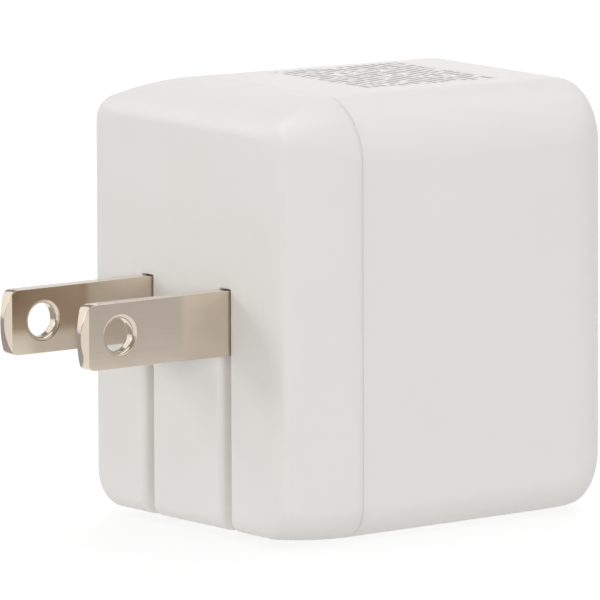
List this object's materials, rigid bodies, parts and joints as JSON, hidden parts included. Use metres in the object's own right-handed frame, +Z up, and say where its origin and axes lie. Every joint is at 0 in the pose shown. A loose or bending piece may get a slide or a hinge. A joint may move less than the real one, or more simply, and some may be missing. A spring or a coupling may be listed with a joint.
{
  "type": "usb wall charger",
  "caption": "Compact white mains wall charger with folding flat blades, a split rounded case and stacked USB-C and USB-A outlets on the end face",
  "frame": {"origin": "Centre of the plug face, midway between the two blades, on the plane that meets the wall outlet", "axes": "+Y points out of the plug face along the extended blades into the wall outlet, +Z is up with the blades' flat sides upright, +X is to the right when looking along +Y; the USB outlets face -Y"},
  "size_m": [0.0316, 0.0581, 0.0428],
  "materials": {
    "shell_white": "satin white moulded polycarbonate with a fine spark texture",
    "nickel": "bright nickel plate over brass",
    "contact_bronze": "bare spring bronze",
    "steel": "bright zinc plate",
    "dark_plastic": "matt black glass-filled plastic",
    "pale_plastic": "matt off-white plastic",
    "board": "green solder mask",
    "ferrite": "matt dark grey sintered ferrite",
    "copper": "enamelled copper wire",
    "tape": "yellow polyester tape",
    "film": "yellow epoxy box",
    "disc": "blue dipped coating",
    "aluminium": "plain drawn aluminium",
    "clear_sheet": "thin translucent film",
    "wire_grey": "matt grey insulation",
    "wire_red": "matt red insulation"
  },
  "bodies": {
    "case": {"front_housing": "shell_white", "rear_cover": "shell_white", "contact_spring_left": "contact_bronze", "contact_spring_right": "contact_bronze", "retainer_screw_left": "steel", "retainer_screw_right": "steel", "pivot_retainer": "dark_plastic", "detent_spring": "steel", "lead_left": "wire_grey", "lead_right": "wire_red", "main_board": "board", "port_board": "board", "fuse": "pale_plastic", "line_choke_core": "ferrite", "line_choke_winding": "copper", "film_capacitor": "film", "bridge_rectifier": "dark_plastic", "primary_controller": "dark_plastic", "sync_rectifier": "dark_plastic", "bulk_capacitor_front": "dark_plastic", "bulk_capacitor_rear": "dark_plastic", "transformer_core": "ferrite", "transformer_winding": "tape", "transformer_base": "dark_plastic", "safety_capacitor": "disc", "output_capacitor_lower": "aluminium", "output_capacitor_upper": "aluminium", "port_controller": "dark_plastic", "heat_spreader": "aluminium", "insulation_sheet": "clear_sheet", "usb_c_shell": "steel", "usb_c_tongue": "dark_plastic", "usb_a_shell": "steel", "usb_a_tongue": "pale_plastic"},
    "plug": {"blade_carrier": "dark_plastic", "blade_left": "nickel", "blade_right": "nickel"}
  },
  "joints": [
    {"name": "blade_fold", "type": "hinge", "parent": "case", "child": "plug", "pos_m": [0, -0.00295, 0.00035], "axis": [-1, 0, 0], "range_deg": [0, 90]}
  ]
}
